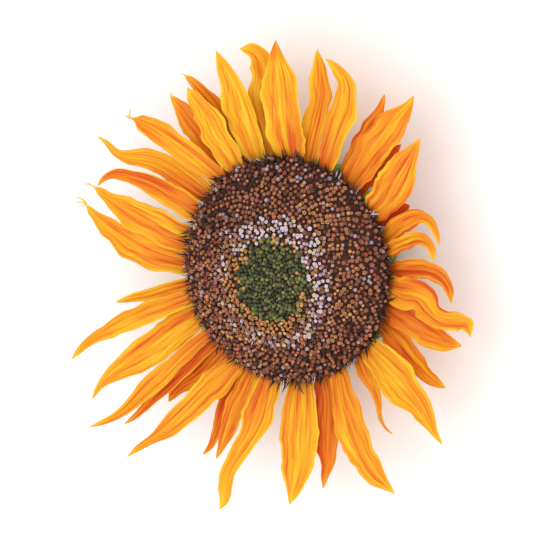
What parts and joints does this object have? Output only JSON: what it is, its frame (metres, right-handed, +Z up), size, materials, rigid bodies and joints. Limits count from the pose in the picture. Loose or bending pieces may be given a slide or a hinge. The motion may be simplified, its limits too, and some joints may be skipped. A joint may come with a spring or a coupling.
{
  "type": "cut sunflower head",
  "caption": "Open sunflower head cut with a short stalk, lying on its back: a domed seed disc ringed by long pointed rays over green bracts.",
  "frame": {"origin": "middle of the flat cut across the stalk, which the head rests on", "axes": "+Z up along the normal of the face, +X and +Y across the head; +X is to the right and +Y to the top as the flower is usually looked at"},
  "size_m": [0.2744, 0.2939, 0.062],
  "materials": {
    "stalk": "ribbed hairy green stalk with a pale pithy cut end",
    "receptacle": "soft green pithy flesh, faintly veined",
    "disc": "tight spirals of dark brown and ochre florets round a grey-green middle",
    "ray": "golden yellow petal, finely pleated, orange shading and paler edges",
    "back_ray": "deeper orange petal of the back row, finely pleated",
    "bract": "matt green bract with parallel veins and short hairs"
  },
  "bodies": {
    "root": {"stalk": "stalk", "receptacle": "receptacle", "disc": "disc", "ray_01": "ray", "ray_02": "ray", "ray_03": "ray", "ray_04": "back_ray", "ray_05": "ray", "ray_06": "ray", "ray_07": "ray", "ray_08": "back_ray", "ray_09": "ray", "ray_10": "ray", "ray_11": "ray", "ray_12": "back_ray", "ray_13": "ray", "ray_14": "back_ray", "ray_15": "ray", "ray_16": "ray", "ray_17": "ray", "ray_18": "ray", "ray_19": "ray", "ray_20": "back_ray", "ray_21": "ray", "ray_22": "ray", "ray_23": "ray", "ray_24": "ray", "ray_25": "back_ray", "ray_26": "ray", "ray_27": "back_ray", "ray_28": "ray", "ray_29": "back_ray", "ray_30": "ray", "ray_31": "ray", "ray_32": "ray", "ray_33": "back_ray", "ray_34": "ray", "ray_35": "back_ray", "ray_36": "ray", "ray_37": "back_ray", "ray_38": "ray", "ray_39": "ray", "bract_upper_1": "bract", "bract_upper_2": "bract", "bract_upper_3": "bract", "bract_upper_4": "bract", "bract_upper_5": "bract", "bract_upper_6": "bract", "bract_upper_7": "bract", "bract_upper_8": "bract", "bract_lower_1": "bract", "bract_lower_2": "bract", "bract_lower_3": "bract", "bract_lower_4": "bract", "bract_lower_5": "bract", "bract_lower_6": "bract", "bract_lower_7": "bract", "bract_lower_8": "bract"}
  },
  "joints": []
}
